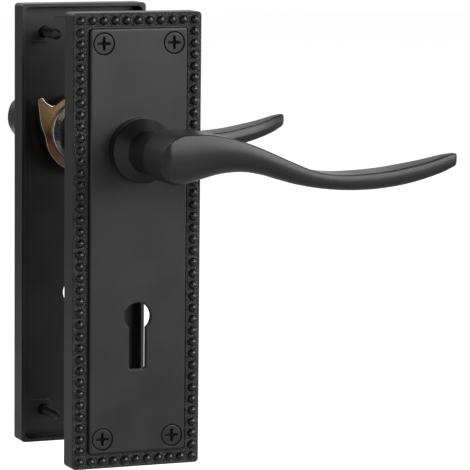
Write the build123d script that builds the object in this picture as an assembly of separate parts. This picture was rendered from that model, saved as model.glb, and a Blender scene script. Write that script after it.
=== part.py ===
from build123d import *
import math
import os

# Lever door handle set on beaded lock plates: two plates with the door between them,
# two sprung levers, the square spindle that joins them, and the screws.
# Millimetres. Origin on the spindle axis, halfway through the door. +X runs along the levers,
# +Z is up, and the front set lies on the -Y side. "Out" is the distance from the middle of the
# door: every piece is drawn for the front side, at y = -out, and mirrored for the rear side.

# Door and plates
door_thickness = 45.0
plate_width = 46.0
plate_height = 155.0
plate_depth = 8.5
plate_above_spindle = 46.2
plate_corner_radius = 1.3
plate_edge_radius = 0.45
rim_thickness = 1.15
rim_corner_radius = 2.0
plate_wall = 2.0

# Raised panel and the line round it
panel_rise = 1.3
panel_side_inset = 5.5
panel_end_inset = 5.1
panel_corner_radius = 1.2
panel_edge_radius = 0.8
groove_width = 0.5
groove_depth = 0.35

# Row of beads
bead_diameter = 3.0
bead_inset = 2.6
beads_across = 11
beads_along = 39

# Keyhole
keyhole_drop = 57.0
keyhole_radius = 4.9
keyhole_slot_width = 6.2
keyhole_height = 22.9
keyhole_edge_radius = 0.3
keyhole_foot_radius = 0.8

# Fixing screws: countersunk, cross recess, pointed
screw_side_inset = 10.4
screw_end_inset = 10.3
screw_length = 19.5
screw_radius = 1.75
screw_root_radius = 1.3
screw_head_radius = 3.5
screw_head_lip = 0.45
screw_head_edge_radius = 0.25
screw_head_sink = 0.15
screw_point_length = 3.0
screw_point_radius = 0.25
screw_thread_pitch = 1.4
screw_thread_length = 13.0
# Shares of the pitch at which a ridge of the thread ends, and the root between two ridges begins and ends
screw_ridge_end = 0.25
screw_root_start = 0.55
screw_root_end = 0.75
screw_hole_clearance = 0.3
screw_seat_clearance = 0.03
screw_mouth_gap = 0.3
screw_mouth_chamfer = 0.15
recess_span = 4.7
recess_slot = 0.95
recess_foot_span = 2.6
recess_foot_slot = 0.6
recess_depth = 1.5
recess_middle_radius = 0.9
recess_middle_foot_radius = 0.35
recess_middle_depth = 2.0
screw_pad_reach = 3.5
screw_pad_radius = 2.6

# Rose: the plate's boss, the bush in it and the lever's journal
journal_radius = 9.0
running_clearance = 0.05
fit_clearance = 0.02
bush_wall = 0.8
bush_flange_thickness = 0.8
bush_flange_setback = 0.35
boss_wall = 1.05
boss_height = 3.2
boss_root_radius = 0.15
collar_gap = 0.3
collar_edge = 0.7
collar_rim_radius = 0.5
collar_cone = 4.2
neck_radius = 7.2
neck_foot_radius = 4.0

# Lever: a barrel-shaped hub behind the grip, and the grip itself
hub_back = 29.0
hub_length = 19.0
hub_radius = 8.65
hub_shift_x = -1.05
hub_shift_z = 0.8
hub_angle_step = 8.5
hub_foot_depth = 10.4
hub_end_setback = 2.5
hub_end_share = 0.7
hub_end_power = 1.5
crease_radius = 0.5
side_bulge = 0.7
face_belly = 0.5
face_turn = 0.6
face_lip = 0.08
lever_reach = 98.1
section_spacing = 2.2
# Share of the reach, top, bottom, inner edge moved out, outer edge moved in, inner foot, outer foot, crown
grip_stations = [
    (0.055, 9.42, -6.35, 0.0, 0.0, 2.0, 9.8, 0.05),
    (0.130, 8.25, -4.45, 0.0, 0.1, 3.6, 8.6, 0.10),
    (0.207, 6.15, -3.90, 0.1, 0.4, 4.0, 7.2, 0.15),
    (0.293, 2.80, -5.35, 0.3, 0.9, 3.6, 5.8, 0.15),
    (0.384, -1.10, -8.10, 0.7, 1.5, 3.0, 4.8, 0.15),
    (0.475, -4.45, -9.95, 1.3, 2.1, 2.4, 4.2, 0.15),
    (0.566, -5.70, -11.00, 1.9, 2.6, 2.3, 4.0, 0.10),
    (0.657, -5.60, -11.30, 2.5, 3.0, 2.3, 4.0, 0.10),
    (0.747, -4.90, -10.80, 3.4, 3.3, 2.3, 3.9, 0.10),
    (0.828, -3.60, -9.60, 5.0, 3.5, 2.2, 3.5, 0.10),
    (0.889, -2.40, -8.15, 6.6, 3.7, 2.0, 3.0, 0.05),
    (0.934, -1.25, -6.80, 8.2, 4.0, 1.6, 2.4, 0.05),
    (0.966, -0.38, -5.60, 9.7, 4.3, 1.2, 1.8, 0.05),
    (0.987, 0.00, -4.70, 10.9, 4.6, 0.9, 1.3, 0.02),
    (0.997, 0.00, -4.10, 11.6, 4.9, 0.7, 0.9, 0.02),
    (1.000, -0.35, -3.50, 12.0, 5.2, 0.5, 0.6, 0.02),
]

# Spindle and the screw that pins the lever to it
spindle_side = 8.0
spindle_length = 108.0
spindle_chamfer = 0.3
spindle_clearance = 0.05
socket_end_gap = 2.0
grub_radius = 2.5
grub_out_from_panel = 17.0
grub_sink = 0.35
grub_socket_across = 2.5
grub_socket_depth = 1.5

# Horned cam plate, circlip and return spring behind the plate
cam_recess = 1.9
cam_thickness = 2.4
cam_radius = 13.5
cam_crown_radius = 14.1
cam_flats = 16.6
horn_reach = 6.95
# Share of the horn's reach and angle of each place along one horn, from its root over its tip to the crown
horn_root = (0, 188)
horn_flank = [(0.174, 173), (0.519, 156.6), (0.928, 144.8)]
horn_tip = [(1, 141.3), (0.849, 138.7)]
horn_valley = [(0.475, 139.5), (0.165, 136.0)]
horn_end_angle = 131.0
tail_recess = 0.4
circlip_thickness = 1.0
circlip_groove_depth = 0.6
circlip_side_clearance = 0.05
circlip_width = 2.78
circlip_offset = 1.0
circlip_edge_radius = 0.4
circlip_gap_angle = 40.0
circlip_ear_radius = 1.35
circlip_ear_hole_radius = 0.6
spring_wire = 1.0
spring_coil_clearance = 0.5
spring_end_clearance = 0.25
spring_bend_radius = 1.6
spring_leg_length = 2.2
spring_moving_leg_angle = 108.0
spring_fixed_leg_angle = -60.0
peg_radius = 1.1
peg_gap = 0.1
stop_radius = 1.4
stop_gap = 0.3
stop_proud = 0.3
root_overlap = 0.2
lever_travel = 40.0

# Places worked out from the sizes above
rim_out = door_thickness / 2
band_out = rim_out + plate_depth
panel_out = band_out + panel_rise
shelf_out = band_out - plate_wall
floor_out = panel_out - plate_wall
plate_top = plate_above_spindle
plate_middle = plate_top - plate_height / 2
panel_width = plate_width - 2 * panel_side_inset
panel_height = plate_height - 2 * panel_end_inset
bush_radius = journal_radius + running_clearance + bush_wall
boss_radius = bush_radius + fit_clearance + boss_wall
boss_out = panel_out + boss_height
bush_out = boss_out + bush_flange_thickness
collar_out = bush_out + collar_gap
cone_out = collar_out + collar_edge
neck_out = cone_out + collar_cone
cam_out = rim_out + cam_recess
cam_back_out = cam_out + cam_thickness
tail_out = rim_out + tail_recess
groove_out = cam_out - circlip_thickness - circlip_side_clearance
spring_radius = journal_radius + spring_coil_clearance + spring_wire / 2
spring_moving_out = cam_back_out + spring_end_clearance + spring_wire / 2
spring_fixed_out = floor_out - spring_end_clearance - spring_wire / 2
spring_leg_radius = spring_radius + spring_bend_radius + spring_leg_length / 2
screw_x = plate_width / 2 - screw_side_inset
screw_z = plate_height / 2 - screw_end_inset


def slab(sketch, near, far):
    """A flat sketch in X and Z, made solid from one distance out to another."""
    return extrude(Plane.XZ.offset(near) * sketch, amount=far - near)


def spin(points):
    """A solid of revolution about the spindle axis, from pairs of radius and distance out."""
    outline = Polyline([(radius, -out) for radius, out in points], close=True)
    return revolve(make_face(outline), axis=Axis.Y)


def polar(radius, angle):
    """A place in X and Z, with the angle from +X towards +Z in degrees."""
    turn = math.radians(angle)
    return (radius * math.cos(turn), radius * math.sin(turn))


def on_horn(place):
    """A place on the cam plate's horn in X and Z, from its share of the horn's reach and its angle."""
    share, angle = place
    return polar(cam_radius + share * horn_reach, angle)


def round_bar(radius, angle, at_radius, near, far):
    """A round post along the door's thickness, at a polar place in X and Z."""
    x, z = polar(at_radius, angle)
    return slab(Pos(x, z) * Circle(radius), near, far)


def screw_places():
    """The four screw places in X and Z: top left, top right, bottom left, bottom right."""
    return [(side * screw_x, plate_middle + level * screw_z) for level in (1, -1) for side in (-1, 1)]


def bead_places():
    """The centres of the beads, once round the border."""
    half_x = plate_width / 2 - bead_inset
    half_z = plate_height / 2 - bead_inset
    pitch_x = 2 * half_x / (beads_across - 1)
    pitch_z = 2 * half_z / (beads_along - 1)
    places = []
    for i in range(beads_across):
        for level in (-1, 1):
            places.append((-half_x + i * pitch_x, plate_middle + level * half_z))
    for i in range(1, beads_along - 1):
        for side in (-1, 1):
            places.append((side * half_x, plate_middle - half_z + i * pitch_z))
    return places


def keyhole_sketch():
    """The keyhole: a round hole over a slot."""
    foot = -keyhole_drop + keyhole_radius - keyhole_height
    slot_height = -keyhole_drop - foot
    slot = RectangleRounded(keyhole_slot_width, slot_height + keyhole_foot_radius, keyhole_foot_radius)
    slot = Pos(0, foot + (slot_height + keyhole_foot_radius) / 2) * slot
    ring = Pos(0, -keyhole_drop) * Circle(keyhole_radius)
    return slot + ring


def screw_pad_sketch():
    """The four pads in the corners of the pocket that the screws pass through."""
    pads = Sketch()
    for x, z in screw_places():
        side = math.copysign(1, x)
        level = math.copysign(1, z - plate_middle)
        edge_x = side * panel_width / 2
        edge_z = plate_middle + level * panel_height / 2
        near_x = x - side * screw_pad_reach
        near_z = z - level * screw_pad_reach
        pad = Rectangle(abs(edge_x - near_x), abs(edge_z - near_z))
        inner = pad.vertices().sort_by_distance((-side * plate_width, -level * plate_height, 0))[0]
        pad = fillet(inner, screw_pad_radius)
        pads += Pos((edge_x + near_x) / 2, (edge_z + near_z) / 2) * pad
    return pads


def beside(start, end, gap):
    """The place at a distance to the left of the middle of a line in X and Z."""
    length = math.hypot(end[0] - start[0], end[1] - start[1])
    across = ((start[1] - end[1]) / length, (end[0] - start[0]) / length)
    return ((start[0] + end[0]) / 2 + gap * across[0], (start[1] + end[1]) / 2 + gap * across[1])


def horn_stop_places():
    """Where the horn on the lever's side rests with the lever up, and with it pressed down."""
    gap = stop_gap + stop_radius

    def other_side(place):
        return on_horn((place[0], 180 - place[1]))

    rest = beside(other_side(horn_valley[0]), other_side(horn_tip[-1]), gap)
    low = beside(other_side(horn_flank[-1]), other_side(horn_flank[-2]), gap)
    angle = math.degrees(math.atan2(low[1], low[0])) - lever_travel
    return [rest, polar(math.hypot(*low), angle)]


def peg_angle_step():
    """The angle between a spring leg's middle and the peg that it presses on."""
    return math.degrees((spring_wire / 2 + peg_gap + peg_radius) / spring_leg_radius)


def backplate():
    """A hollow cast plate: stippled border with beads, raised panel, boss, pads and stops."""
    outer = Pos(0, plate_middle) * RectangleRounded(plate_width, plate_height, plate_corner_radius)
    plate = slab(outer, rim_out, band_out)
    front_edges = plate.edges().filter_by_position(Axis.Y, -band_out - 0.01, -band_out + 0.01)
    plate = fillet(front_edges, plate_edge_radius)

    panel = Pos(0, plate_middle) * RectangleRounded(panel_width, panel_height, panel_corner_radius)
    groove = offset(panel, groove_width) - panel
    plate -= slab(groove, band_out - groove_depth, band_out + panel_rise)
    raised = slab(panel, band_out - groove_depth - root_overlap, panel_out)
    raised_edges = raised.edges().filter_by_position(Axis.Y, -panel_out - 0.01, -panel_out + 0.01)
    plate += fillet(raised_edges, panel_edge_radius)

    boss = spin([(0, floor_out), (boss_radius, floor_out), (boss_radius, boss_out), (0, boss_out)])
    plate += boss
    root = plate.edges().filter_by(GeomType.CIRCLE).filter_by_position(
        Axis.Y, -panel_out - 0.01, -panel_out + 0.01)
    root = [edge for edge in root if abs(edge.radius - boss_radius) < 0.01]
    plate = fillet(root, boss_root_radius)

    inside = Pos(0, plate_middle) * RectangleRounded(
        plate_width - 2 * rim_thickness, plate_height - 2 * rim_thickness, rim_corner_radius)
    plate -= slab(inside, rim_out, shelf_out)
    pocket = Pos(0, plate_middle) * RectangleRounded(panel_width, panel_height, panel_corner_radius)
    plate -= slab(pocket - screw_pad_sketch(), shelf_out, floor_out)

    for x, z in horn_stop_places():
        plate += slab(Pos(x, z) * Circle(stop_radius), cam_out - stop_proud, floor_out + root_overlap)
    fixed_peg = spring_fixed_leg_angle - peg_angle_step()
    plate += round_bar(peg_radius, fixed_peg, spring_leg_radius, spring_fixed_out - spring_wire,
                       floor_out + root_overlap)

    plate -= slab(Circle(bush_radius + fit_clearance), rim_out, boss_out)
    plate -= slab(keyhole_sketch(), rim_out, panel_out)
    mouth = plate.edges().filter_by_position(Axis.Y, -panel_out - 0.01, -panel_out + 0.01)
    mouth = mouth.filter_by_position(Axis.X, -keyhole_radius, keyhole_radius)
    mouth = mouth.filter_by_position(Axis.Z, -keyhole_drop + keyhole_radius - keyhole_height,
                                     -keyhole_drop + keyhole_radius)
    plate = fillet(mouth, keyhole_edge_radius)
    for x, z in screw_places():
        plate -= Pos(x, 0, z) * screw_seat()

    bead = Sphere(bead_diameter / 2)
    bead &= Pos(0, plate_wall / 2 - bead_diameter / 2, 0) * Box(bead_diameter, bead_diameter, bead_diameter)
    return plate + [Pos(x, -band_out, z) * bead for x, z in bead_places()]


def screw_seat():
    """The cut for one screw: a clear hole, a countersink that the head sits in, and a straight mouth."""
    mouth = screw_head_radius + screw_mouth_gap
    hole = screw_radius + screw_hole_clearance
    lip = panel_out - screw_head_sink - screw_head_lip
    foot = lip + screw_mouth_gap - screw_seat_clearance * math.sqrt(2)
    edge = panel_out - screw_mouth_chamfer
    return spin([(0, rim_out), (hole, rim_out), (hole, foot - (mouth - hole)), (mouth, foot), (mouth, edge),
                 (mouth + screw_mouth_chamfer, panel_out), (0, panel_out)])


def fixing_screw():
    """A countersunk cross-recess screw with a ridged thread and a point."""
    top = panel_out - screw_head_sink
    lip = top - screw_head_lip
    neck = lip - (screw_head_radius - screw_radius)
    point = top - screw_length
    cone = point + screw_point_length
    ridges = int((screw_thread_length - screw_point_length) / screw_thread_pitch)
    outline = [(0, top), (screw_head_radius, top), (screw_head_radius, lip), (screw_radius, neck),
               (screw_radius, cone + ridges * screw_thread_pitch)]
    for i in range(ridges, 0, -1):
        crest = cone + i * screw_thread_pitch
        outline.append((screw_radius, crest - screw_ridge_end * screw_thread_pitch))
        outline.append((screw_root_radius, crest - screw_root_start * screw_thread_pitch))
        outline.append((screw_root_radius, crest - screw_root_end * screw_thread_pitch))
        outline.append((screw_radius, crest - screw_thread_pitch))
    outline.append((screw_point_radius, point))
    outline.append((0, point))
    screw = spin(outline)
    rim = screw.edges().filter_by_position(Axis.Y, -top - 0.01, -top + 0.01)
    return fillet(rim, screw_head_edge_radius) - cross_recess(top)


def cross_recess(top):
    """The cross in a screw's head: four arms with sloping sides and ends, round a deeper cone."""
    mouth = Plane.XZ.offset(top)
    foot = Plane.XZ.offset(top - recess_depth)
    arm = loft([mouth * Rectangle(recess_span, recess_slot),
                foot * Rectangle(recess_foot_span, recess_foot_slot)])
    middle = spin([(0, top), (recess_middle_radius, top),
                   (recess_middle_foot_radius, top - recess_middle_depth), (0, top - recess_middle_depth)])
    return arm + arm.rotate(Axis.Y, 90) + middle


def bush():
    """The bearing bush pressed into the boss, with a flange that the collar runs against."""
    bore = journal_radius + running_clearance
    flange = boss_radius - bush_flange_setback
    return spin([(bore, floor_out), (bush_radius, floor_out), (bush_radius, boss_out), (flange, boss_out),
                 (flange, bush_out), (bore, bush_out)])


def smooth_edge(start, end, start_way, end_way):
    """A smooth edge between two places, leaving and arriving along the given ways, as an arc does."""
    turn = math.acos(max(-1, min(1, start_way.normalized().dot(end_way.normalized()))))
    share = 1 / (3 * math.cos(turn / 4) ** 2)
    reach = (end - start).length * share
    return Bezier(start, start + start_way.normalized() * reach, end - end_way.normalized() * reach, end)


def outer_side(z, top, bottom, crease, belly, depth):
    """How far out the lever's outer side lies at a height, and how fast that grows with height.

    It bellies a little below the crease along its top, and curves under towards the bottom.
    """
    height = top - bottom
    level = (z - bottom) / height
    if level >= face_turn:
        up = (level - face_turn) / (1 - face_turn)
        return crease + belly * (1 - up * up), -2 * belly * up / (height * (1 - face_turn))
    down = (face_turn - level) / face_turn
    rest = math.sqrt(1 - down * down)
    return crease + belly - depth * (1 - rest), depth * down / (rest * height * face_turn)


def lever_section(x, top, bottom, inner, corner, foot, crown, side):
    """A section of the lever square to X, from the middle of its outer side down and round.

    The outer side is given as a function of the height: its distance out, and how fast that grows.
    """
    height = top - bottom
    lip = face_lip * height
    outer = side(top)[0]
    middle = (top + bottom) / 2
    rise = 4 * crown / (outer - inner)
    lean = 4 * side_bulge / height * min(1, height / hub_radius)
    low_out, low_slope = side(bottom + lip)
    under = low_out - lip * (low_slope + math.hypot(1, low_slope))
    bulge = side_bulge * min(1, height / hub_radius)

    def at(out, z):
        return Vector(x, -out, z)

    def way(out, z):
        return Vector(0, -out, z)

    places = [
        (at(side(middle)[0], middle), way(-side(middle)[1], -1)),
        (at(low_out, bottom + lip), way(-low_slope, -1)),
        (at(under, bottom), way(-1, 0)),
        (at(inner + foot, bottom), way(-1, 0)),
        (at(inner, bottom + foot), way(-lean, 1)),
        (at(inner - bulge, middle), way(0, 1)),
        (at(inner, top - corner), way(lean, 1)),
        (at(inner + corner, top), way(1, rise)),
        (at(outer - corner, top), way(1, -rise)),
        (at(side(top - corner)[0], top - corner), way(-side(top - corner)[1], -1)),
    ]
    edges = []
    for i, (start, start_way) in enumerate(places):
        end, end_way = places[(i + 1) % len(places)]
        edges.append(smooth_edge(start, end, start_way, end_way))
    return Wire(edges)


def hub_sections():
    """Sections of the hub's round end: a barrel cut off by the lever's outer side."""
    back = panel_out + hub_back
    sections = []
    for step in range(int(90 / hub_angle_step)):
        turn = math.radians(hub_angle_step * (step + 0.5))
        half = hub_radius * math.sin(turn)
        past = max(0, (math.cos(turn) - hub_end_share) / (1 - hub_end_share))
        setback = hub_end_setback * past ** hub_end_power
        corner = min(crease_radius, half / 2)

        def side(z):
            return outer_side(z, hub_shift_z + hub_radius, hub_shift_z - hub_radius,
                              back + hub_length - setback, face_belly, hub_foot_depth)

        sections.append(lever_section(hub_shift_x - hub_radius * math.cos(turn), hub_shift_z + half,
                                      hub_shift_z - half, back, corner, corner, 0, side))
    return sections


def stations_between():
    """The stations of the grip from the hub's axis to the tip, with smooth steps between those given."""
    hub = (hub_shift_x / lever_reach, hub_shift_z + hub_radius, hub_shift_z - hub_radius, 0, 0,
           crease_radius, hub_foot_depth, 0)
    rows = [hub] + grip_stations
    spans = [(after[0] - before[0]) * lever_reach for before, after in zip(rows, rows[1:])]
    rises = [[(b - a) / span for a, b in zip(before, after)]
             for before, after, span in zip(rows, rows[1:], spans)]
    slopes = [[rises[0][0]] + [0] * (len(hub) - 1)]
    for i in range(1, len(spans)):
        near, far = spans[i - 1], spans[i]
        slopes.append([(far * a + near * b) / (near + far) for a, b in zip(rises[i - 1], rises[i])])
    slopes.append(rises[-1])
    stations = []
    for i, span in enumerate(spans):
        steps = max(1, round(span / section_spacing))
        for step in range(steps):
            t = step / steps
            stations.append([
                a + t * span * start + t * t * (3 * (b - a) - span * (2 * start + end))
                + t * t * t * (2 * (a - b) + span * (start + end))
                for a, b, start, end in zip(rows[i], rows[i + 1], slopes[i], slopes[i + 1])])
    return stations + [rows[-1]]


def grip_sections():
    """Sections of the wave-shaped grip: it leaves the hub, dips, and turns up at the tip."""
    back = panel_out + hub_back
    sections = []
    for share, top, bottom, inner_set, outer_set, foot, depth, crown in stations_between():
        inner = back + inner_set
        crease = back + hub_length - outer_set
        size = min(top - bottom, crease - inner)
        belly = face_belly * min(1, size / hub_radius)

        def side(z):
            return outer_side(z, top, bottom, crease, belly, depth)

        sections.append(lever_section(share * lever_reach, top, bottom, inner,
                                      min(crease_radius, size / 4), foot, crown, side))
    return sections


def blade():
    """The hub and the grip in one smooth form."""
    return Solid.make_loft(hub_sections() + grip_sections())


def lever():
    """The cast lever in one piece: blade, neck, collar, and the journal behind it with its socket."""
    root = panel_out + hub_back + hub_length / 2
    rose = Polyline([(0, -tail_out), (journal_radius, -tail_out), (journal_radius, -collar_out),
                     (boss_radius, -collar_out), (boss_radius, -cone_out), (neck_radius, -neck_out),
                     (neck_radius, -root), (0, -root)], close=True)
    rose = make_face(rose)
    foot = [v for v in rose.vertices() if abs(v.X - neck_radius) < 0.01 and abs(v.Y + neck_out) < 0.01]
    rim = [v for v in rose.vertices() if abs(v.X - boss_radius) < 0.01 and abs(v.Y + cone_out) < 0.01]
    rose = fillet(foot, neck_foot_radius)
    rose = fillet(rim, collar_rim_radius)
    body = revolve(rose, axis=Axis.Y)
    body += blade()
    flat_half = cam_flats / 2
    for side in (-1, 1):
        flat = Pos(side * (flat_half + journal_radius), 0) * Rectangle(2 * journal_radius, 4 * journal_radius)
        body -= slab(flat, tail_out, cam_back_out)
    ring = Circle(journal_radius + 1) - Circle(journal_radius - circlip_groove_depth)
    body -= slab(ring, groove_out - circlip_side_clearance, cam_out - circlip_side_clearance)
    socket_side = spindle_side + 2 * spindle_clearance
    body -= slab(Rectangle(socket_side, socket_side), tail_out, spindle_length / 2 + socket_end_gap)
    body -= Pos(0, -panel_out - grub_out_from_panel, -neck_radius) * Cylinder(
        grub_radius + fit_clearance, 2 * (neck_radius - spindle_side / 2))
    return body


def grub_screw():
    """The socket screw under the neck that grips the spindle."""
    top = -neck_radius + grub_sink
    foot = -spindle_side / 2 - spindle_clearance
    middle = (top + foot) / 2
    screw = Pos(0, 0, middle) * Cylinder(grub_radius, foot - top)
    socket = extrude(Pos(0, 0, top) * RegularPolygon(grub_socket_across / 2, 6, major_radius=False),
                     amount=grub_socket_depth)
    return Pos(0, -panel_out - grub_out_from_panel, 0) * (screw - socket)


def cam_sketch():
    """The cam plate's outline: a disc with two horns on its upper side."""
    root = on_horn(horn_root)
    flank = [on_horn(place) for place in horn_flank]
    tip = [on_horn(place) for place in horn_tip]
    valley = [on_horn(place) for place in horn_valley]
    end = polar(cam_crown_radius, horn_end_angle)
    root_way = polar(1, horn_root[1] - 90)
    tip_way = (flank[-1][0] - flank[-2][0], flank[-1][1] - flank[-2][1])
    valley_way = (valley[0][0] - tip[-1][0], valley[0][1] - tip[-1][1])
    end_way = polar(1, horn_end_angle - 90)
    horn = [Spline([root] + flank, tangents=[root_way, tip_way]),
            ThreePointArc(flank[-1], tip[0], tip[-1]),
            Spline([tip[-1]] + valley + [end], tangents=[valley_way, end_way])]
    other = list(mirror(Curve() + horn, about=Plane.YZ).edges())
    crown = ThreePointArc(end, (0, cam_crown_radius), (-end[0], end[1]))
    foot = ThreePointArc(root, (0, -cam_radius), (-root[0], root[1]))
    return make_face(Wire(horn + [crown] + other + [foot]))


def cam_plate():
    """The horned plate keyed to the lever's tail, with the peg that winds the spring."""
    hole = Circle(journal_radius + fit_clearance)
    across = cam_flats + 2 * fit_clearance
    hole &= Rectangle(across, 4 * journal_radius)
    plate = slab(cam_sketch() - hole, cam_out, cam_back_out)
    peg = spring_moving_leg_angle + peg_angle_step()
    peg_end = spring_moving_out + spring_wire
    return plate + round_bar(peg_radius, peg, spring_leg_radius, cam_back_out, peg_end)


def circlip():
    """The retaining ring in the tail's groove: thickest at the top, with two ears below."""
    bore = journal_radius - circlip_groove_depth + fit_clearance
    far_out = groove_out + circlip_thickness
    ring = slab(Pos(0, circlip_offset) * Circle(bore + circlip_width), groove_out, far_out)
    rim = ring.edges().filter_by_position(Axis.Y, -groove_out - 0.01, -groove_out + 0.01)
    ring = fillet(rim, circlip_edge_radius)
    gap = make_face(Polyline([(0, 0), polar(3 * journal_radius, 270 - circlip_gap_angle / 2),
                              polar(3 * journal_radius, 270 + circlip_gap_angle / 2)], close=True))
    ring -= slab(Circle(bore) + gap, groove_out, far_out)
    ear_radius = bore + circlip_ear_radius
    ear_angle = circlip_gap_angle / 2 + math.degrees(circlip_ear_radius / ear_radius)
    for side in (-1, 1):
        x, z = polar(ear_radius, 270 + side * ear_angle)
        ring += slab(Pos(x, z) * Circle(circlip_ear_radius) - Circle(bore), groove_out, far_out)
        ring -= slab(Pos(x, z) * Circle(circlip_ear_hole_radius), groove_out, far_out)
    return ring


def biarc(start, start_way, end, end_way):
    """Two arcs that join two points smoothly, leaving and arriving along the given ways."""
    chord = end - start
    both = start_way + end_way
    a = 2 * (1 - start_way.dot(end_way))
    b = 2 * chord.dot(both)
    c = -chord.dot(chord)
    reach = (-b + math.sqrt(b * b - 4 * a * c)) / (2 * a)
    first = start + start_way * reach
    last = end - end_way * reach
    joint = (first + last) / 2
    return [TangentArc(start, joint, tangent=start_way),
            TangentArc(joint, end, tangent=(last - first).normalized())]


def return_spring():
    """A torsion spring round the journal, with one leg on the plate's peg and one on the cam's."""
    bend_angle = math.degrees(spring_bend_radius / spring_radius)
    start_angle = spring_moving_leg_angle - bend_angle
    turn = start_angle - bend_angle - spring_fixed_leg_angle + 360
    steps = round(turn / 90)
    climb = (spring_fixed_out - spring_moving_out) / math.radians(turn)

    def coil(step):
        angle = start_angle - turn * step / steps
        out = spring_moving_out + math.radians(turn * step / steps) * climb
        x, z = polar(spring_radius, angle)
        a = math.radians(angle)
        way = Vector(spring_radius * math.sin(a), -climb, -spring_radius * math.cos(a)).normalized()
        return Vector(x, -out, z), way

    def leg(angle, out, near, far):
        near_x, near_z = polar(near, angle)
        far_x, far_z = polar(far, angle)
        return Vector(near_x, -out, near_z), Vector(far_x, -out, far_z)

    near = spring_radius + spring_bend_radius
    far = near + spring_leg_length
    moving_near, moving_far = leg(spring_moving_leg_angle, spring_moving_out, near, far)
    fixed_near, fixed_far = leg(spring_fixed_leg_angle, spring_fixed_out, near, far)
    edges = [Line(moving_far, moving_near)]
    point, way = coil(0)
    edges += biarc(moving_near, (moving_near - moving_far).normalized(), point, way)
    for step in range(steps):
        following, following_way = coil(step + 1)
        edges += biarc(point, way, following, following_way)
        point, way = following, following_way
    edges += biarc(point, way, fixed_near, (fixed_far - fixed_near).normalized())
    edges.append(Line(fixed_near, fixed_far))
    path = Wire(edges)
    end = Plane(origin=moving_far, z_dir=moving_near - moving_far)
    report_spring_gap(path)
    return sweep(end * Circle(spring_wire / 2), path=path)


def report_spring_gap(path):
    """Print the least gap between turns, measured between points along the wire."""
    count = 400
    points = [path.position_at(i / count) for i in range(count + 1)]
    spacing = path.length / count
    apart = int(3 * spring_wire / spacing)
    least = min((points[i] - points[j]).length for i in range(count) for j in range(i + apart, count + 1))
    print("return spring: least gap between turns %.2f mm" % (least - spring_wire))


def spindle():
    """The square bar that carries the turn of both levers through the door."""
    bar = Box(spindle_side, spindle_length, spindle_side)
    return chamfer(bar.edges().filter_by(Axis.Y), spindle_chamfer)


def write(name, shape):
    """Write one piece to its own file."""
    shape.label = name
    export_step(shape, "parts/" + name + ".step")


def main():
    """Build every piece for the front side, mirror it for the rear side, and write them all."""
    os.makedirs("parts", exist_ok=True)
    sides = {
        "backplate": backplate(),
        "lever": lever(),
        "bush": bush(),
        "cam_plate": cam_plate(),
        "circlip": circlip(),
        "return_spring": return_spring(),
        "grub_screw": grub_screw(),
    }
    for name, piece in sides.items():
        write("front_" + name, piece)
        write("rear_" + name, mirror(piece, about=Plane.XZ))
    screw = fixing_screw()
    corners = ["top_left", "top_right", "bottom_left", "bottom_right"]
    for corner, (x, z) in zip(corners, screw_places()):
        placed = Pos(x, 0, z) * screw
        write("front_screw_" + corner, placed)
        write("rear_screw_" + corner, mirror(placed, about=Plane.XZ))
    write("spindle", spindle())


main()
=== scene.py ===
"""Dresses the lever door handle set: two beaded lock plates, their levers and the parts behind them."""

import logging
import math
from dataclasses import dataclass, field
from enum import Enum

import bpy
from mathutils import Matrix, Vector


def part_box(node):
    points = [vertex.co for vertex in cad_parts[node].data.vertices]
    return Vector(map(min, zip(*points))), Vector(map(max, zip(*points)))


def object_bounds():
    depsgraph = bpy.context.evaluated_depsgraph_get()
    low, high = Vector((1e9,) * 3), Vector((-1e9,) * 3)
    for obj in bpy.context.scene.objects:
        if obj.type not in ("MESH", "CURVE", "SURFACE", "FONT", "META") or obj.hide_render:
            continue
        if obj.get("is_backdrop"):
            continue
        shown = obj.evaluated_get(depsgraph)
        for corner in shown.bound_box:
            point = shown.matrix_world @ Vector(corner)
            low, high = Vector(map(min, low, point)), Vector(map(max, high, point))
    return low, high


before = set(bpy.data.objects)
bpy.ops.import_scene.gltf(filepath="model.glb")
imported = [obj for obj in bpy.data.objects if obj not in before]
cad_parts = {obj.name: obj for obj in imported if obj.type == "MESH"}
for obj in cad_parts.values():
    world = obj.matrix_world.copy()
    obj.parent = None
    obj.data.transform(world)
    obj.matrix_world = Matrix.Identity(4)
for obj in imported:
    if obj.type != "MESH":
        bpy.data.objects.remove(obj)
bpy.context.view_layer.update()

logging.basicConfig(level=logging.INFO, format="%(message)s")
log = logging.getLogger("handle_set")

MM = 0.001
BEVEL_SAMPLES = 6

# A mix node has its sockets once for each kind of value, so they are found by number.
MIX_FLOAT_A = 2
MIX_FLOAT_B = 3
MIX_COLOUR_A = 6
MIX_COLOUR_B = 7
MIX_COLOUR_RESULT = 2

# The cosine between the rounded normal and the flat one where an edge starts to take its painted
# highlight (on the black coat also wear), and where it takes it fully.
EDGE_STARTS = 0.99
EDGE_FULL = 0.85


class Side(Enum):
    """The two faces of the door."""

    FRONT = "front_"
    REAR = "rear_"

    @property
    def prefix(self) -> str:
        """The start of the node names on this side."""
        return self.value


class Corner(Enum):
    """The four screw places on a plate."""

    TOP_LEFT = "top_left"
    TOP_RIGHT = "top_right"
    BOTTOM_LEFT = "bottom_left"
    BOTTOM_RIGHT = "bottom_right"


def linear(hex_colour: str) -> tuple[float, float, float, float]:
    """Turns an sRGB hex colour into linear light.

    Args:
        hex_colour: The colour as "#RRGGBB".

    Returns:
        Red, green, blue and an alpha of 1.
    """
    channels = [int(hex_colour[i:i + 2], 16) / 255 for i in (1, 3, 5)]
    values = [c / 12.92 if c <= 0.04045 else ((c + 0.055) / 1.055) ** 2.4 for c in channels]
    return (values[0], values[1], values[2], 1.0)


def waves_per_metre(size_mm: float) -> float:
    """The texture scale at which one grain of a pattern in metres is size_mm across."""
    return 1.0 / (size_mm * MM)


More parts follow.
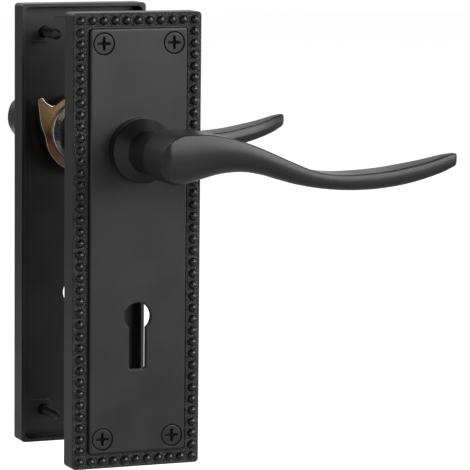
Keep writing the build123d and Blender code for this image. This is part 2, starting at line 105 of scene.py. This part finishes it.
def add(tree: bpy.types.NodeTree, kind: str, settings: dict | None = None, inputs: dict | None = None,
        stops: tuple[tuple[float, str], ...] = ()) -> bpy.types.Node:
    """Adds a node with its settings and links.

    Args:
        tree: The node tree that gets the node.
        kind: The node's Blender type.
        settings: Attributes of the node by name.
        inputs: Values or output sockets by the name or number of the input.
        stops: For a colour ramp, its positions in order, each with its hex colour.

    Returns:
        The new node.
    """
    node = tree.nodes.new(kind)
    for name, value in (settings or {}).items():
        setattr(node, name, value)
    for name, value in (inputs or {}).items():
        if isinstance(value, bpy.types.NodeSocket):
            tree.links.new(value, node.inputs[name])
        else:
            node.inputs[name].default_value = value
    if stops:
        elements = node.color_ramp.elements
        while len(elements) < len(stops):
            elements.new(0.5)
        for element, (position, hex_colour) in zip(elements, stops):
            element.position = position
            element.color = linear(hex_colour)
    return node


def new_material(name: str) -> tuple[bpy.types.Material, bpy.types.NodeTree]:
    """Makes an empty node material.

    Args:
        name: The material's name.

    Returns:
        The material and its node tree.
    """
    material = bpy.data.materials.new(name)
    material.use_nodes = True
    material.node_tree.nodes.clear()
    return material, material.node_tree


def first_node(tree: bpy.types.NodeTree, kind: str) -> bpy.types.Node:
    """Finds the first node of a kind that a material holds.

    Args:
        tree: The material's node tree.
        kind: The node's short type, such as "TEX_COORD".

    Returns:
        The node.
    """
    return next(node for node in tree.nodes if node.type == kind)


def source_of(node: bpy.types.Node, name: str) -> bpy.types.NodeSocket:
    """The output socket that feeds one of a node's linked inputs."""
    return node.inputs[name].links[0].from_socket


def edge_mask(tree: bpy.types.NodeTree, rounded: bpy.types.NodeSocket) -> bpy.types.NodeSocket:
    """Finds the edges, where a lighter colour is painted as a highlight, on the black coat also as wear.

    Args:
        tree: The material's node tree.
        rounded: The normal with its edges rounded.

    Returns:
        A socket that is 1 on an edge and 0 on a flat face.
    """
    flat = add(tree, "ShaderNodeNewGeometry")
    alike = add(tree, "ShaderNodeVectorMath", {"operation": "DOT_PRODUCT"},
                {0: rounded, 1: flat.outputs["Normal"]})
    mask = add(tree, "ShaderNodeMapRange", {"clamp": True}, {
        "Value": alike.outputs["Value"], "From Min": EDGE_STARTS, "From Max": EDGE_FULL})
    return mask.outputs["Result"]


@dataclass(frozen=True)
class SatinBlackCoat:
    """Polyester powder coat, satin black, sprayed and baked on a smooth zinc casting.

    It gives the eye a near-black body whose soft grey sheen follows the lamps. The coat is a little
    paler, smoother and rougher in slow clouds, and greyer on its edges, where wear and a painted
    highlight are drawn in a lighter colour.
    """

    name: str = "zinc_casting_satin_black_powder_coat"
    colour: str = "#0D0D0E"
    pale_colour: str = "#141415"
    # A lighter grey on the edges: wear, and a painted highlight of the light that a rounded edge catches.
    wear_and_highlight_colour: str = "#222224"
    roughness: float = 0.36
    smoother_by: float = 0.02
    rougher_by: float = 0.03
    ior: float = 1.5
    cloud_mm: float = 12.0
    cloud_low: float = 0.3
    cloud_high: float = 0.7
    cloud_pale: float = 0.75
    peel_mm: float = 1.5
    peel_depth_mm: float = 0.005
    # The grain of a real coat is finer; it is drawn as coarse as it needs to show.
    grain_mm: float = 0.3
    grain_depth_mm: float = 0.006
    edge_mm: float = 0.18

    def build(self) -> bpy.types.Material:
        """Makes the material.

        Returns:
            The finished material.
        """
        material, tree = new_material(self.name)
        place = add(tree, "ShaderNodeTexCoord").outputs["Object"]
        rounded = add(tree, "ShaderNodeBevel", {"samples": BEVEL_SAMPLES},
                      {"Radius": self.edge_mm * MM}).outputs["Normal"]
        cloud = add(tree, "ShaderNodeTexNoise", inputs={
            "Vector": place, "Scale": waves_per_metre(self.cloud_mm), "Detail": 3.0}).outputs["Fac"]
        tint = add(tree, "ShaderNodeValToRGB", inputs={"Fac": cloud}, stops=(
            (self.cloud_low, self.colour), (self.cloud_pale, self.pale_colour)))
        # Paints the edges lighter: wear and a painted highlight.
        painted_edge_highlight = add(tree, "ShaderNodeMix", {"data_type": "RGBA"}, {
            "Factor": edge_mask(tree, rounded), MIX_COLOUR_A: tint.outputs["Color"],
            MIX_COLOUR_B: linear(self.wear_and_highlight_colour)})
        rough = add(tree, "ShaderNodeMapRange", inputs={
            "Value": cloud, "From Min": self.cloud_low, "From Max": self.cloud_high,
            "To Min": self.roughness - self.smoother_by, "To Max": self.roughness + self.rougher_by})
        peel = add(tree, "ShaderNodeTexNoise", inputs={
            "Vector": place, "Scale": waves_per_metre(self.peel_mm), "Detail": 1.0})
        grain = add(tree, "ShaderNodeTexNoise", inputs={
            "Vector": place, "Scale": waves_per_metre(self.grain_mm), "Detail": 2.0})
        soft = add(tree, "ShaderNodeBump", inputs={
            "Height": peel.outputs["Fac"], "Strength": 1.0, "Distance": self.peel_depth_mm * MM,
            "Normal": rounded})
        fine = add(tree, "ShaderNodeBump", inputs={
            "Height": grain.outputs["Fac"], "Strength": 1.0, "Distance": self.grain_depth_mm * MM,
            "Normal": soft.outputs["Normal"]})
        shader = add(tree, "ShaderNodeBsdfPrincipled", inputs={
            "Base Color": painted_edge_highlight.outputs[MIX_COLOUR_RESULT], "Roughness": rough.outputs["Result"],
            "IOR": self.ior, "Normal": fine.outputs["Normal"]})
        add(tree, "ShaderNodeOutputMaterial", inputs={"Surface": shader.outputs["BSDF"]})
        return material


@dataclass(frozen=True)
class StippledBlackCoat(SatinBlackCoat):
    """The same coat on a casting whose border is stippled in the mould.

    The ground between the beads is a fine sandy grain, with glints painted into its colour as paler
    specks; the beads are glossier than the satin panel.
    """

    name: str = "zinc_casting_satin_black_powder_coat_stippled_border"
    side: Side = Side.FRONT
    panel_side_inset_mm: float = 5.0
    panel_end_inset_mm: float = 4.6
    band_depth_mm: float = 8.5
    band_reach_mm: float = 0.3
    bead_roughness: float = 0.22
    stipple_mm: float = 0.5
    stipple_depth_mm: float = 0.35
    speck_mm: float = 0.3
    glint_mm: float = 0.36
    glint_starts: float = 0.5
    glint_full: float = 0.72
    # The colour of the painted glints on the ground.
    painted_glint_colour: str = "#58585A"
    pit_roughness: float = 0.8

    def border_masks(self, tree: bpy.types.NodeTree,
                     place: bpy.types.NodeSocket) -> tuple[bpy.types.NodeSocket, bpy.types.NodeSocket]:
        """Finds the stippled ground of the border, and the beads on it.

        Args:
            tree: The material's node tree.
            place: The place in the plate's own frame.

        Returns:
            Two sockets: one is 1 on the stippled ground, the other 1 on the beads.
        """
        low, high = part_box(self.side.prefix + "backplate")
        middle = (0.0, 0.0, (low[2] + high[2]) / 2)
        half_x = (high[0] - low[0]) / 2 - self.panel_side_inset_mm * MM
        half_z = (high[2] - low[2]) / 2 - self.panel_end_inset_mm * MM
        band_out = min(abs(low[1]), abs(high[1])) + self.band_depth_mm * MM
        reach = self.band_reach_mm * MM
        centred = add(tree, "ShaderNodeVectorMath", {"operation": "SUBTRACT"}, {0: place, 1: middle})
        folded = add(tree, "ShaderNodeVectorMath", {"operation": "ABSOLUTE"}, {0: centred.outputs["Vector"]})
        away = add(tree, "ShaderNodeSeparateXYZ", inputs={"Vector": folded.outputs["Vector"]})
        beside = add(tree, "ShaderNodeMath", {"operation": "GREATER_THAN"}, {0: away.outputs["X"], 1: half_x})
        beyond = add(tree, "ShaderNodeMath", {"operation": "GREATER_THAN"}, {0: away.outputs["Z"], 1: half_z})
        border = add(tree, "ShaderNodeMath", {"operation": "MAXIMUM"}, {
            0: beside.outputs["Value"], 1: beyond.outputs["Value"]})
        level = add(tree, "ShaderNodeMath", {"operation": "COMPARE"}, {
            0: away.outputs["Y"], 1: band_out, 2: reach})
        above = add(tree, "ShaderNodeMath", {"operation": "GREATER_THAN"}, {
            0: away.outputs["Y"], 1: band_out + reach})
        ground = add(tree, "ShaderNodeMath", {"operation": "MULTIPLY"}, {
            0: border.outputs["Value"], 1: level.outputs["Value"]})
        beads = add(tree, "ShaderNodeMath", {"operation": "MULTIPLY"}, {
            0: border.outputs["Value"], 1: above.outputs["Value"]})
        return ground.outputs["Value"], beads.outputs["Value"]

    def build(self) -> bpy.types.Material:
        """Makes the material.

        Returns:
            The finished material.
        """
        material = super().build()
        tree = material.node_tree
        shader = first_node(tree, "BSDF_PRINCIPLED")
        place = first_node(tree, "TEX_COORD").outputs["Object"]
        ground, beads = self.border_masks(tree, place)
        self.stipple(tree, shader, place, ground)
        self.shine(tree, shader, place, ground, beads)
        return material

    def stipple(self, tree: bpy.types.NodeTree, shader: bpy.types.Node, place: bpy.types.NodeSocket,
                ground: bpy.types.NodeSocket) -> None:
        """Raises the sandy grain of the ground.

        Args:
            tree: The material's node tree.
            shader: The coat's shader.
            place: The place in the plate's own frame.
            ground: A socket that is 1 on the stippled ground.
        """
        pits = add(tree, "ShaderNodeTexVoronoi", {"feature": "F1"}, {
            "Vector": place, "Scale": waves_per_metre(self.stipple_mm), "Randomness": 1.0})
        speck = add(tree, "ShaderNodeTexNoise", inputs={
            "Vector": place, "Scale": waves_per_metre(self.speck_mm), "Detail": 2.0})
        height = add(tree, "ShaderNodeMath", {"operation": "ADD"}, {
            0: speck.outputs["Fac"], 1: pits.outputs["Distance"]})
        masked = add(tree, "ShaderNodeMath", {"operation": "MULTIPLY"}, {
            0: height.outputs["Value"], 1: ground})
        bump = add(tree, "ShaderNodeBump", inputs={
            "Height": masked.outputs["Value"], "Strength": 1.0, "Distance": self.stipple_depth_mm * MM,
            "Normal": source_of(shader, "Normal")})
        tree.links.new(bump.outputs["Normal"], shader.inputs["Normal"])

    def shine(self, tree: bpy.types.NodeTree, shader: bpy.types.Node, place: bpy.types.NodeSocket,
              ground: bpy.types.NodeSocket, beads: bpy.types.NodeSocket) -> None:
        """Makes the ground rough with sparse glints painted in as paler specks, and the beads glossy.

        Args:
            tree: The material's node tree.
            shader: The coat's shader.
            place: The place in the plate's own frame.
            ground: A socket that is 1 on the stippled ground.
            beads: A socket that is 1 on the beads.
        """
        glint = add(tree, "ShaderNodeTexNoise", inputs={
            "Vector": place, "Scale": waves_per_metre(self.glint_mm), "Detail": 0.0})
        sparse = add(tree, "ShaderNodeMapRange", {"clamp": True}, {
            "Value": glint.outputs["Fac"], "From Min": self.glint_starts, "From Max": self.glint_full})
        shown = add(tree, "ShaderNodeMath", {"operation": "MULTIPLY"}, {
            0: sparse.outputs["Result"], 1: ground})
        # Painted glints: paler specks mixed into the ground's colour.
        tint = add(tree, "ShaderNodeMix", {"data_type": "RGBA"}, {
            "Factor": shown.outputs["Value"], MIX_COLOUR_A: source_of(shader, "Base Color"),
            MIX_COLOUR_B: linear(self.painted_glint_colour)})
        pitted = add(tree, "ShaderNodeMix", {"data_type": "FLOAT"}, {
            "Factor": ground, MIX_FLOAT_A: source_of(shader, "Roughness"), MIX_FLOAT_B: self.pit_roughness})
        glossy = add(tree, "ShaderNodeMix", {"data_type": "FLOAT"}, {
            "Factor": shown.outputs["Value"], MIX_FLOAT_A: pitted.outputs["Result"],
            MIX_FLOAT_B: self.bead_roughness})
        rough = add(tree, "ShaderNodeMix", {"data_type": "FLOAT"}, {
            "Factor": beads, MIX_FLOAT_A: glossy.outputs["Result"], MIX_FLOAT_B: self.bead_roughness})
        tree.links.new(tint.outputs[MIX_COLOUR_RESULT], shader.inputs["Base Color"])
        tree.links.new(rough.outputs["Result"], shader.inputs["Roughness"])


@dataclass(frozen=True)
class ScrewBlackCoat(SatinBlackCoat):
    """The same coat on a steel screw, matt in the cross of the head, where shade is painted darker.

    It gives the eye a black cross in a satin head.
    """

    name: str = "steel_screw_satin_black_coat"
    # The heads of both sides lie equally far out, so the front's serve for both.
    side: Side = Side.FRONT
    cross_from_mm: float = 0.3
    cross_to_mm: float = 2.6
    # Painted shade: the cross of the head is painted darker than the coat.
    painted_cross_shade_colour: str = "#060606"
    cross_roughness: float = 0.85

    def build(self) -> bpy.types.Material:
        """Makes the material.

        Returns:
            The finished material.
        """
        material = super().build()
        tree = material.node_tree
        shader = first_node(tree, "BSDF_PRINCIPLED")
        place = first_node(tree, "TEX_COORD").outputs["Object"]
        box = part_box(self.side.prefix + "screw_top_left")
        head_out = max(abs(corner[1]) for corner in box)
        middle = head_out - (self.cross_from_mm + self.cross_to_mm) / 2 * MM
        reach = (self.cross_to_mm - self.cross_from_mm) / 2 * MM
        parts = add(tree, "ShaderNodeSeparateXYZ", inputs={"Vector": place})
        out = add(tree, "ShaderNodeMath", {"operation": "ABSOLUTE"}, {0: parts.outputs["Y"]})
        inside = add(tree, "ShaderNodeMath", {"operation": "COMPARE"}, {
            0: out.outputs["Value"], 1: middle, 2: reach})
        # Paints shade into the cross, darker than the coat, and makes it matt.
        matt = add(tree, "ShaderNodeMix", {"data_type": "RGBA"}, {
            "Factor": inside.outputs["Value"], MIX_COLOUR_A: source_of(shader, "Base Color"),
            MIX_COLOUR_B: linear(self.painted_cross_shade_colour)})
        rough = add(tree, "ShaderNodeMix", {"data_type": "FLOAT"}, {
            "Factor": inside.outputs["Value"], MIX_FLOAT_A: source_of(shader, "Roughness"),
            MIX_FLOAT_B: self.cross_roughness})
        tree.links.new(matt.outputs[MIX_COLOUR_RESULT], shader.inputs["Base Color"])
        tree.links.new(rough.outputs["Result"], shader.inputs["Roughness"])
        return material


@dataclass(frozen=True)
class MouldedNylon:
    """Nylon 6, injection moulded: it gives the eye a matt black with a faint moulded grain."""

    name: str = "nylon_moulded_black"
    dark: str = "#161617"
    light: str = "#242425"
    dark_at: float = 0.3
    light_at: float = 0.7
    roughness: float = 0.55
    ior: float = 1.53
    # The grain of a real mould is finer; it is drawn as coarse as it needs to show.
    grain_mm: float = 0.4
    grain_depth_mm: float = 0.03
    grain_strength: float = 0.4

    def build(self) -> bpy.types.Material:
        """Makes the material.

        Returns:
            The finished material.
        """
        material, tree = new_material(self.name)
        place = add(tree, "ShaderNodeTexCoord").outputs["Object"]
        grain = add(tree, "ShaderNodeTexNoise", inputs={
            "Vector": place, "Scale": waves_per_metre(self.grain_mm), "Detail": 4.0})
        tint = add(tree, "ShaderNodeValToRGB", inputs={"Fac": grain.outputs["Fac"]}, stops=(
            (self.dark_at, self.dark), (self.light_at, self.light)))
        bump = add(tree, "ShaderNodeBump", inputs={
            "Height": grain.outputs["Fac"], "Strength": self.grain_strength,
            "Distance": self.grain_depth_mm * MM})
        shader = add(tree, "ShaderNodeBsdfPrincipled", inputs={
            "Base Color": tint.outputs["Color"], "Roughness": self.roughness, "IOR": self.ior,
            "Normal": bump.outputs["Normal"]})
        add(tree, "ShaderNodeOutputMaterial", inputs={"Surface": shader.outputs["BSDF"]})
        return material


@dataclass(frozen=True)
class YellowPassivate:
    """Pressed steel, zinc plated and yellow passivated.

    It gives the eye a gold that drifts to beige and pink over the plate, with pale edges painted on
    as a highlight.
    """

    name: str = "steel_zinc_plated_yellow_passivated"
    roughness: float = 0.26
    # The colours from the bottom of the plate to its top: the film's gold, beige and pink, with a
    # darker band across the middle.
    film: tuple[tuple[float, str], ...] = (
        (0.16, "#CDB09C"),
        (0.36, "#DCA78F"),
        (0.49, "#94806C"),
        (0.58, "#DABB86"),
        (0.74, "#E4C892"),
        (0.92, "#DCBAA4"),
    )
    drift_mm: float = 26.0
    bloom_mm: float = 6.0
    bloom_share: float = 0.3
    bloom_twist: float = 0.6
    # The crystals of a real film are finer; they are drawn as coarse as they need to show.
    grain_mm: float = 0.3
    grain_depth_mm: float = 0.02
    grain_strength: float = 0.3
    edge_mm: float = 0.35
    # A pale colour painted on the edges as a highlight.
    painted_edge_highlight_colour: str = "#F2EADF"

    def build(self) -> bpy.types.Material:
        """Makes the material.

        Returns:
            The finished material.
        """
        material, tree = new_material(self.name)
        place = add(tree, "ShaderNodeTexCoord").outputs["Object"]
        rounded = add(tree, "ShaderNodeBevel", {"samples": BEVEL_SAMPLES},
                      {"Radius": self.edge_mm * MM}).outputs["Normal"]
        bloom = add(tree, "ShaderNodeTexNoise", inputs={
            "Vector": place, "Scale": waves_per_metre(self.bloom_mm), "Detail": 2.0,
            "Distortion": self.bloom_twist})
        parts = add(tree, "ShaderNodeSeparateXYZ", inputs={"Vector": place})
        drift = add(tree, "ShaderNodeMath", {"operation": "MULTIPLY_ADD"}, {
            0: parts.outputs["Z"], 1: waves_per_metre(self.drift_mm), 2: 0.5 - self.bloom_share / 2})
        mixed = add(tree, "ShaderNodeMath", {"operation": "MULTIPLY_ADD"}, {
            0: bloom.outputs["Fac"], 1: self.bloom_share, 2: drift.outputs["Value"]})
        tint = add(tree, "ShaderNodeValToRGB", inputs={"Fac": mixed.outputs["Value"]}, stops=self.film)
        # Paints the edges pale, as a highlight.
        painted_edge_highlight = add(tree, "ShaderNodeMix", {"data_type": "RGBA"}, {
            "Factor": edge_mask(tree, rounded), MIX_COLOUR_A: tint.outputs["Color"],
            MIX_COLOUR_B: linear(self.painted_edge_highlight_colour)})
        grain = add(tree, "ShaderNodeTexNoise", inputs={
            "Vector": place, "Scale": waves_per_metre(self.grain_mm), "Detail": 2.0})
        bump = add(tree, "ShaderNodeBump", inputs={
            "Height": grain.outputs["Fac"], "Strength": self.grain_strength,
            "Distance": self.grain_depth_mm * MM, "Normal": rounded})
        shader = add(tree, "ShaderNodeBsdfPrincipled", inputs={
            "Base Color": painted_edge_highlight.outputs[MIX_COLOUR_RESULT], "Metallic": 1.0,
            "Roughness": self.roughness, "Normal": bump.outputs["Normal"]})
        add(tree, "ShaderNodeOutputMaterial", inputs={"Surface": shader.outputs["BSDF"]})
        return material


@dataclass(frozen=True)
class DrawnSteel:
    """Bright steel, drawn or rolled: it gives the eye a pale metal with fine lines along the bar."""

    name: str = "steel_drawn_bright"
    dark: str = "#8E9093"
    light: str = "#C9CBCE"
    dark_at: float = 0.3
    light_at: float = 0.7
    roughness: float = 0.25
    # The lines of a real die are finer; they are drawn as coarse as they need to show.
    line_mm: float = 0.25
    line_depth_mm: float = 0.02
    line_strength: float = 0.3
    stretch: tuple[float, float, float] = (1.0, 0.05, 1.0)

    def build(self) -> bpy.types.Material:
        """Makes the material.

        Returns:
            The finished material.
        """
        material, tree = new_material(self.name)
        place = add(tree, "ShaderNodeTexCoord").outputs["Object"]
        drawn = add(tree, "ShaderNodeVectorMath", {"operation": "MULTIPLY"}, {0: place, 1: self.stretch})
        lines = add(tree, "ShaderNodeTexNoise", inputs={
            "Vector": drawn.outputs["Vector"], "Scale": waves_per_metre(self.line_mm), "Detail": 3.0})
        tint = add(tree, "ShaderNodeValToRGB", inputs={"Fac": lines.outputs["Fac"]}, stops=(
            (self.dark_at, self.dark), (self.light_at, self.light)))
        bump = add(tree, "ShaderNodeBump", inputs={
            "Height": lines.outputs["Fac"], "Strength": self.line_strength,
            "Distance": self.line_depth_mm * MM})
        shader = add(tree, "ShaderNodeBsdfPrincipled", inputs={
            "Base Color": tint.outputs["Color"], "Metallic": 1.0, "Roughness": self.roughness,
            "Normal": bump.outputs["Normal"]})
        add(tree, "ShaderNodeOutputMaterial", inputs={"Surface": shader.outputs["BSDF"]})
        return material


def dress(node: str, material: bpy.types.Material) -> None:
    """Gives a carried-over part its finish.

    Args:
        node: The part's name.
        material: Its finish.
    """
    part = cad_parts[node]
    part.data.materials.clear()
    part.data.materials.append(material)
    log.info("dressed %s with %s", node, material.name)


@dataclass(frozen=True)
class Softbox:
    """A soft lamp, placed by the way it lies from the set's front and by how bright its cloth is.

    Its distance, width and height are in metres.
    """

    name: str
    azimuth_deg: float
    elevation_deg: float
    distance: float
    width: float
    height: float
    brightness: float

    def build(self, target: tuple[float, float, float]) -> None:
        """Hangs the softbox so that it looks at the target.

        Args:
            target: The place it looks at, in metres.
        """
        azimuth = math.radians(self.azimuth_deg)
        elevation = math.radians(self.elevation_deg)
        way = Vector((math.sin(azimuth) * math.cos(elevation), -math.cos(azimuth) * math.cos(elevation),
                      math.sin(elevation)))
        data = bpy.data.lights.new(self.name, "AREA")
        data.shape = "RECTANGLE"
        data.size = self.width
        data.size_y = self.height
        data.energy = self.brightness * math.pi * self.width * self.height
        lamp = bpy.data.objects.new(self.name, data)
        lamp.location = Vector(target) + self.distance * way
        lamp.rotation_euler = way.to_track_quat("Z", "Y").to_euler()
        lamp.visible_camera = False
        bpy.context.collection.objects.link(lamp)


@dataclass(frozen=True)
class ShadeCard:
    """A grey card that glows evenly, so that a black gloss mirrors grey there and keeps its shape.

    The camera looks through it, and it throws no shadow. It is a parallelogram, given in metres by a
    corner, whose height is measured from the floor, and by the two sides that leave it.
    """

    name: str
    shade: str
    corner: tuple[float, float, float]
    along: tuple[float, float, float]
    across: tuple[float, float, float]

    def build(self, low: float) -> None:
        """Sets the card up.

        Args:
            low: The floor's height, in metres.
        """
        corner = Vector(self.corner) + Vector((0.0, 0.0, low))
        along = Vector(self.along)
        across = Vector(self.across)
        outline = [corner, corner + along, corner + along + across, corner + across]
        mesh = bpy.data.meshes.new(self.name)
        mesh.from_pydata(outline, [], [(0, 1, 2, 3)])
        material, tree = new_material(self.name)
        glow = add(tree, "ShaderNodeEmission", inputs={"Color": linear(self.shade), "Strength": 1.0})
        add(tree, "ShaderNodeOutputMaterial", inputs={"Surface": glow.outputs["Emission"]})
        mesh.materials.append(material)
        card = bpy.data.objects.new(self.name, mesh)
        card.visible_camera = False
        card.visible_shadow = False
        bpy.context.collection.objects.link(card)
        card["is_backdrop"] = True


@dataclass
class Studio:
    """The camera, the floor, the white surroundings, the soft lamps and the grey cards, in metres."""

    camera_place: tuple[float, float, float] = (-0.395398, -1.079949, 0.115657)
    yaw_deg: float = 22.349
    pitch_deg: float = -7.347
    roll_deg: float = 0.546
    focal_px: float = 3338.074
    image_px: float = 470.0
    sensor_mm: float = 36.0
    nearest_seen: float = 0.05
    floor_drop: float = 0.05
    floor_size: float = 6.0
    floor_glow: float = 0.92
    glow_colour: str = "#FFFFFF"
    paper_colour: str = "#E8E8E8"
    seen_paper_colour: str = "#BCBCBC"
    room_on_object: float = 0.5
    # The room's colours by the upward part of the way that they lie in.
    room: tuple[tuple[float, str], ...] = ((0.25, "#FFFFFF"), (0.55, "#3C3C3C"))
    target: tuple[float, float, float] = (0.0, 0.0, -0.02)
    softboxes: tuple[Softbox, ...] = (
        Softbox("front_softbox", azimuth_deg=30.0, elevation_deg=18.5, distance=1.7,
                width=1.9, height=0.7, brightness=5.8),
        Softbox("key_softbox", azimuth_deg=52.0, elevation_deg=47.0, distance=1.5,
                width=0.5, height=0.5, brightness=9.0),
        Softbox("side_softbox", azimuth_deg=54.0, elevation_deg=-1.0, distance=1.6,
                width=0.6, height=0.45, brightness=2.4),
        Softbox("rear_softbox", azimuth_deg=215.0, elevation_deg=44.0, distance=1.6,
                width=0.8, height=0.6, brightness=3.5),
    )
    cards: tuple[ShadeCard, ...] = (
        ShadeCard("near_card_on_floor", "#D0D0D0", corner=(-1.6, -0.65, 0.01),
                  along=(4.0, 0.0, 0.0), across=(0.0, 0.5, 0.0)),
        ShadeCard("far_card_on_floor", "#8A8A8A", corner=(-1.6, -2.9, 0.01),
                  along=(4.0, 0.0, 0.0), across=(0.0, 2.25, 0.0)),
        ShadeCard("rear_card_on_floor", "#A8A8A8", corner=(-0.6, -0.15, 0.01),
                  along=(1.6, 0.0, 0.0), across=(0.0, 0.45, 0.0)),
        ShadeCard("left_card_on_floor", "#707070", corner=(-1.4, 0.2, 0.015),
                  along=(1.3, 0.0, 0.0), across=(0.0, 1.7, 0.0)),
        ShadeCard("left_card", "#7C7C7C", corner=(-0.1, 1.5, 0.0),
                  along=(-0.85, -0.98, 0.0), across=(0.0, 0.0, 0.5)),
        ShadeCard("front_left_card", "#B4B4B4", corner=(-0.26, -0.97, 0.0),
                  along=(-0.72, 1.14, 0.0), across=(0.0, 0.0, 0.6)),
    )

    def camera(self) -> None:
        """Sets the camera at the photograph's viewing angle."""
        yaw, pitch, roll = (math.radians(a) for a in (self.yaw_deg, self.pitch_deg, self.roll_deg))
        ahead = Vector((math.sin(yaw) * math.cos(pitch), math.cos(yaw) * math.cos(pitch), math.sin(pitch)))
        right = Vector((math.cos(yaw), -math.sin(yaw), 0.0))
        up = right.cross(ahead)
        rolled_right = math.cos(roll) * right + math.sin(roll) * up
        rolled_up = math.cos(roll) * up - math.sin(roll) * right
        data = bpy.data.cameras.new("camera")
        data.sensor_width = self.sensor_mm
        data.lens = self.focal_px * self.sensor_mm / self.image_px
        data.clip_start = self.nearest_seen
        camera = bpy.data.objects.new("camera", data)
        turn = Matrix((rolled_right, rolled_up, -ahead)).transposed().to_4x4()
        camera.matrix_world = Matrix.Translation(self.camera_place) @ turn
        bpy.context.collection.objects.link(camera)
        bpy.context.scene.camera = camera
        log.info("camera set")

    def seen(self, tree: bpy.types.NodeTree) -> bpy.types.NodeSocket:
        """Tells what is looked at from what only sheds light.

        Args:
            tree: The node tree that asks.

        Returns:
            A socket that is 1 for what the eye, a mirror or glass sees, and 0 for light on the object.
        """
        path = add(tree, "ShaderNodeLightPath")
        mirrored = add(tree, "ShaderNodeMath", {"operation": "MAXIMUM"}, {
            0: path.outputs["Is Camera Ray"], 1: path.outputs["Is Glossy Ray"]})
        either = add(tree, "ShaderNodeMath", {"operation": "MAXIMUM"}, {
            0: mirrored.outputs["Value"], 1: path.outputs["Is Transmission Ray"]})
        return either.outputs["Value"]

    def world(self) -> None:
        """Surrounds the object with a room that is white round the horizon, under a dark ceiling."""
        world = bpy.data.worlds.new("studio")
        bpy.context.scene.world = world
        world.use_nodes = True
        tree = world.node_tree
        tree.nodes.clear()
        way = add(tree, "ShaderNodeTexCoord").outputs["Generated"]
        parts = add(tree, "ShaderNodeSeparateXYZ", inputs={"Vector": way})
        shade = add(tree, "ShaderNodeValToRGB", inputs={"Fac": parts.outputs["Z"]}, stops=self.room)
        strength = add(tree, "ShaderNodeMapRange", inputs={
            "Value": self.seen(tree), "To Min": self.room_on_object, "To Max": 1.0})
        ground = add(tree, "ShaderNodeBackground", inputs={
            "Color": shade.outputs["Color"], "Strength": strength.outputs["Result"]})
        add(tree, "ShaderNodeOutputWorld", inputs={"Surface": ground.outputs["Background"]})

    def floor_height(self) -> float:
        """The floor's height, in metres: a little below the plates."""
        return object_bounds()[0][2] - self.floor_drop

    def floor(self) -> None:
        """Lays the white paper floor below the plates: it keeps the set's shadow."""
        low = self.floor_height()
        half = self.floor_size / 2
        outline = [(-half, -half, low), (half, -half, low), (half, half, low), (-half, half, low)]
        mesh = bpy.data.meshes.new("floor")
        mesh.from_pydata(outline, [], [(0, 1, 2, 3)])
        floor = bpy.data.objects.new("floor", mesh)
        bpy.context.collection.objects.link(floor)
        material, tree = new_material("studio_floor_paper_white")
        paper = add(tree, "ShaderNodeBsdfDiffuse", inputs={"Color": linear(self.paper_colour)})
        shaded = add(tree, "ShaderNodeBsdfDiffuse", inputs={"Color": linear(self.seen_paper_colour)})
        glow = add(tree, "ShaderNodeEmission", inputs={
            "Color": linear(self.glow_colour), "Strength": self.floor_glow})
        white = add(tree, "ShaderNodeAddShader", inputs={
            0: shaded.outputs["BSDF"], 1: glow.outputs["Emission"]})
        both = add(tree, "ShaderNodeMixShader", inputs={
            0: self.seen(tree), 1: paper.outputs["BSDF"], 2: white.outputs["Shader"]})
        add(tree, "ShaderNodeOutputMaterial", inputs={"Surface": both.outputs["Shader"]})
        mesh.materials.append(material)
        floor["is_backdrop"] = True

    def build(self) -> None:
        """Builds the whole studio."""
        bpy.context.scene.view_settings.view_transform = "Standard"
        self.camera()
        self.world()
        self.floor()
        for softbox in self.softboxes:
            softbox.build(self.target)
        for card in self.cards:
            card.build(self.floor_height())
        log.info("studio built")


@dataclass
class PlateSet:
    """One side of the door: its plate, screws, lever and the parts behind the plate."""

    side: Side
    finishes: dict[str, bpy.types.Material]
    screws: list[Corner] = field(default_factory=lambda: list(Corner))

    def dress_plate(self) -> None:
        """Dresses the plate with its stippled border, and its four screws."""
        dress(self.side.prefix + "backplate", self.finishes[self.side.prefix + "plate"])
        for corner in self.screws:
            dress(self.side.prefix + "screw_" + corner.value, self.finishes["screw"])

    def dress_lever(self) -> None:
        """Dresses the lever and the screw under its neck."""
        dress(self.side.prefix + "lever", self.finishes["lever"])
        dress(self.side.prefix + "grub_screw", self.finishes["screw"])

    def dress_mechanism(self) -> None:
        """Dresses the bush, the cam plate, the circlip and the spring."""
        dress(self.side.prefix + "bush", self.finishes["bush"])
        dress(self.side.prefix + "cam_plate", self.finishes["cam"])
        dress(self.side.prefix + "circlip", self.finishes["ring"])
        dress(self.side.prefix + "return_spring", self.finishes["steel"])

    def build(self) -> None:
        """Dresses every piece of this side."""
        self.dress_plate()
        self.dress_lever()
        self.dress_mechanism()


def main() -> None:
    """Builds the studio, and dresses both sides and the spindle."""
    Studio().build()
    steel = DrawnSteel().build()
    finishes = {
        "front_plate": StippledBlackCoat(name="powder_coat_stippled_border_front", side=Side.FRONT).build(),
        "rear_plate": StippledBlackCoat(name="powder_coat_stippled_border_rear", side=Side.REAR).build(),
        # The lever's edges are painted a little lighter: wear and a painted highlight.
        "lever": SatinBlackCoat(edge_mm=0.7, wear_and_highlight_colour="#161617").build(),
        "screw": ScrewBlackCoat(roughness=0.33).build(),
        "bush": MouldedNylon().build(),
        "cam": YellowPassivate().build(),
        "steel": steel,
        "ring": DrawnSteel(name="spring_steel_bright", dark="#A9ABAE", light="#DADCDF",
                           roughness=0.15).build(),
    }
    for side in Side:
        PlateSet(side, finishes).build()
    dress("spindle", steel)


if __name__ == "__main__":
    main()
